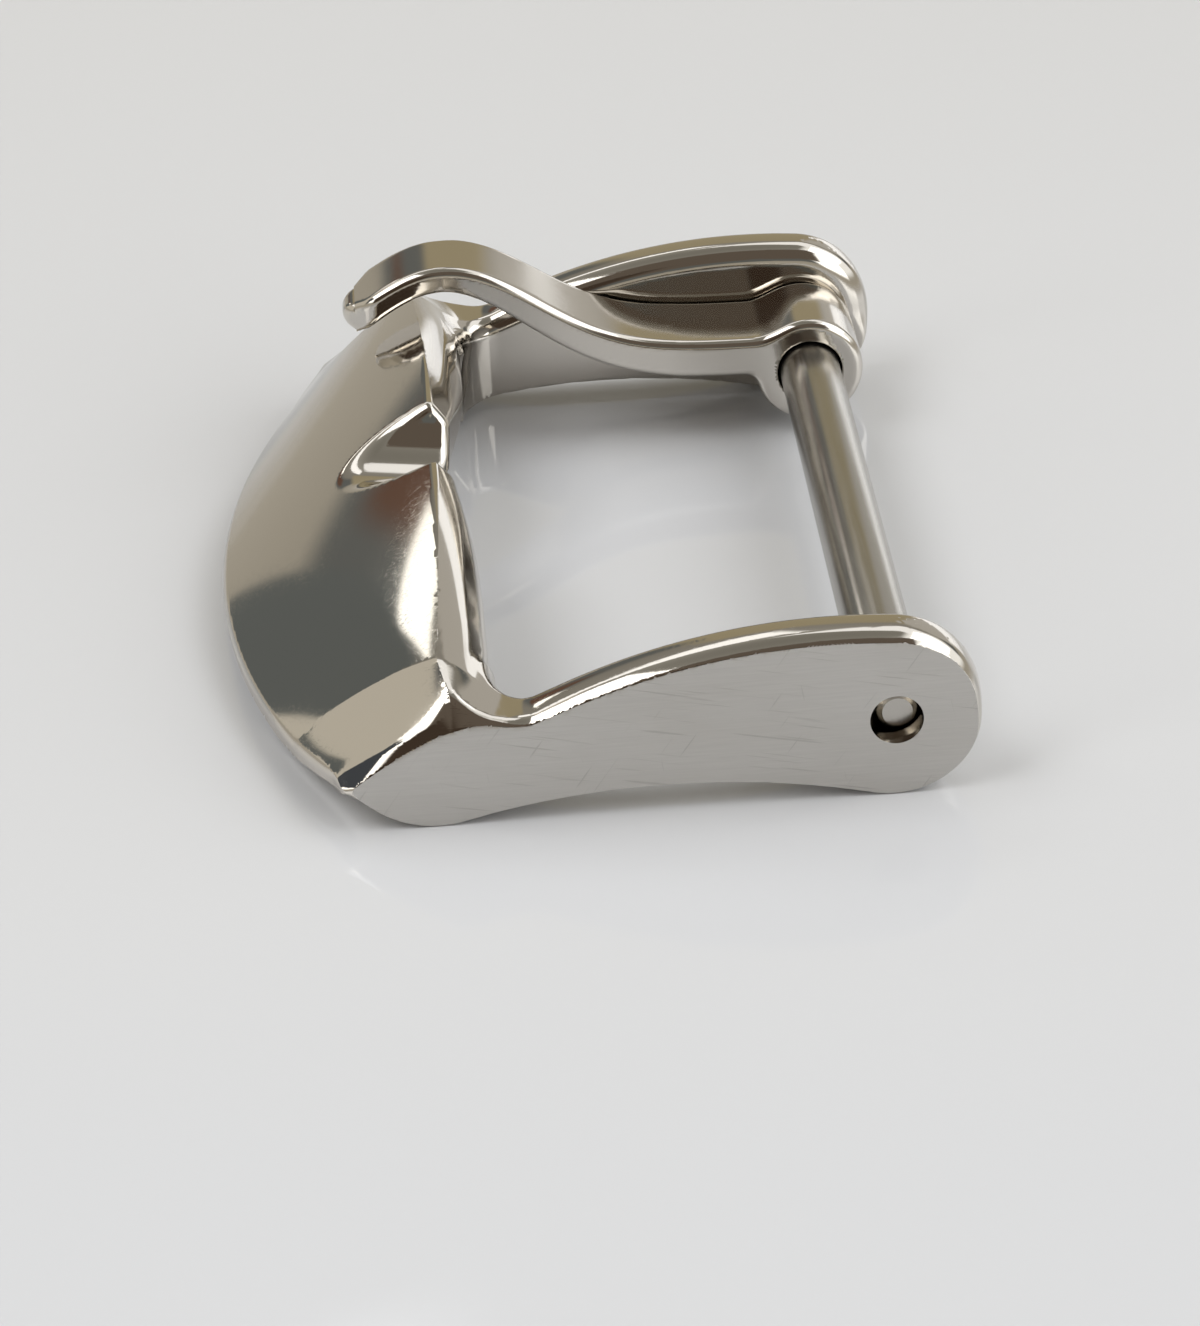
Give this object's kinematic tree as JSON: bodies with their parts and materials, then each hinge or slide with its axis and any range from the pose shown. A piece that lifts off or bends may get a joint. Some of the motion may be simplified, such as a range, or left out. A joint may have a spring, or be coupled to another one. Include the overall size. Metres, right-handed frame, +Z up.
{
  "type": "watch strap buckle",
  "caption": "Polished steel pin buckle for a watch strap, with an arched crossbar, two curved arms, a hooked tongue that swings and slides on a sprung bar, and a groove for its tip",
  "frame": {"origin": "middle of the bounding box in X and Y, at the level that the arms lie on", "axes": "+X from the crossbar to the bar, +Y along the bar, across the strap, +Z up"},
  "size_m": [0.0154, 0.0204, 0.0047],
  "materials": {
    "frame_steel": "mirror polished on the crossbar and edges, finely brushed on the outer side of each arm",
    "tongue_steel": "mirror polished, with tumbled edges",
    "bar_steel": "drawn tube, satin",
    "plunger_steel": "turned, satin",
    "spring_steel": "drawn wire"
  },
  "bodies": {
    "frame": {"frame": "frame_steel"},
    "bar": {"bar_tube": "bar_steel", "bar_spring": "spring_steel"},
    "tongue": {"tongue": "tongue_steel"},
    "plunger_near": {"plunger_near": "plunger_steel"},
    "plunger_far": {"plunger_far": "plunger_steel"}
  },
  "joints": [
    {"name": "tongue_swing", "type": "hinge", "parent": "frame", "child": "bar", "pos_m": [0.006, 0, 0.00164], "axis": [0, 1, 0], "range_deg": [0, 315]},
    {"name": "tongue_slide", "type": "slide", "parent": "bar", "child": "tongue", "axis": [0, 1, 0], "range_m": [-0.0154, 0.0001]},
    {"name": "plunger_near_press", "type": "slide", "parent": "bar", "child": "plunger_near", "axis": [0, 1, 0], "range_m": [0, 0.0009], "stiffness_N_per_m": 800, "springref_m": -0.0005, "deforming": ["bar_spring"]},
    {"name": "plunger_far_press", "type": "slide", "parent": "bar", "child": "plunger_far", "axis": [0, -1, 0], "range_m": [0, 0.0009], "stiffness_N_per_m": 800, "springref_m": -0.0005, "deforming": ["bar_spring"]}
  ]
}
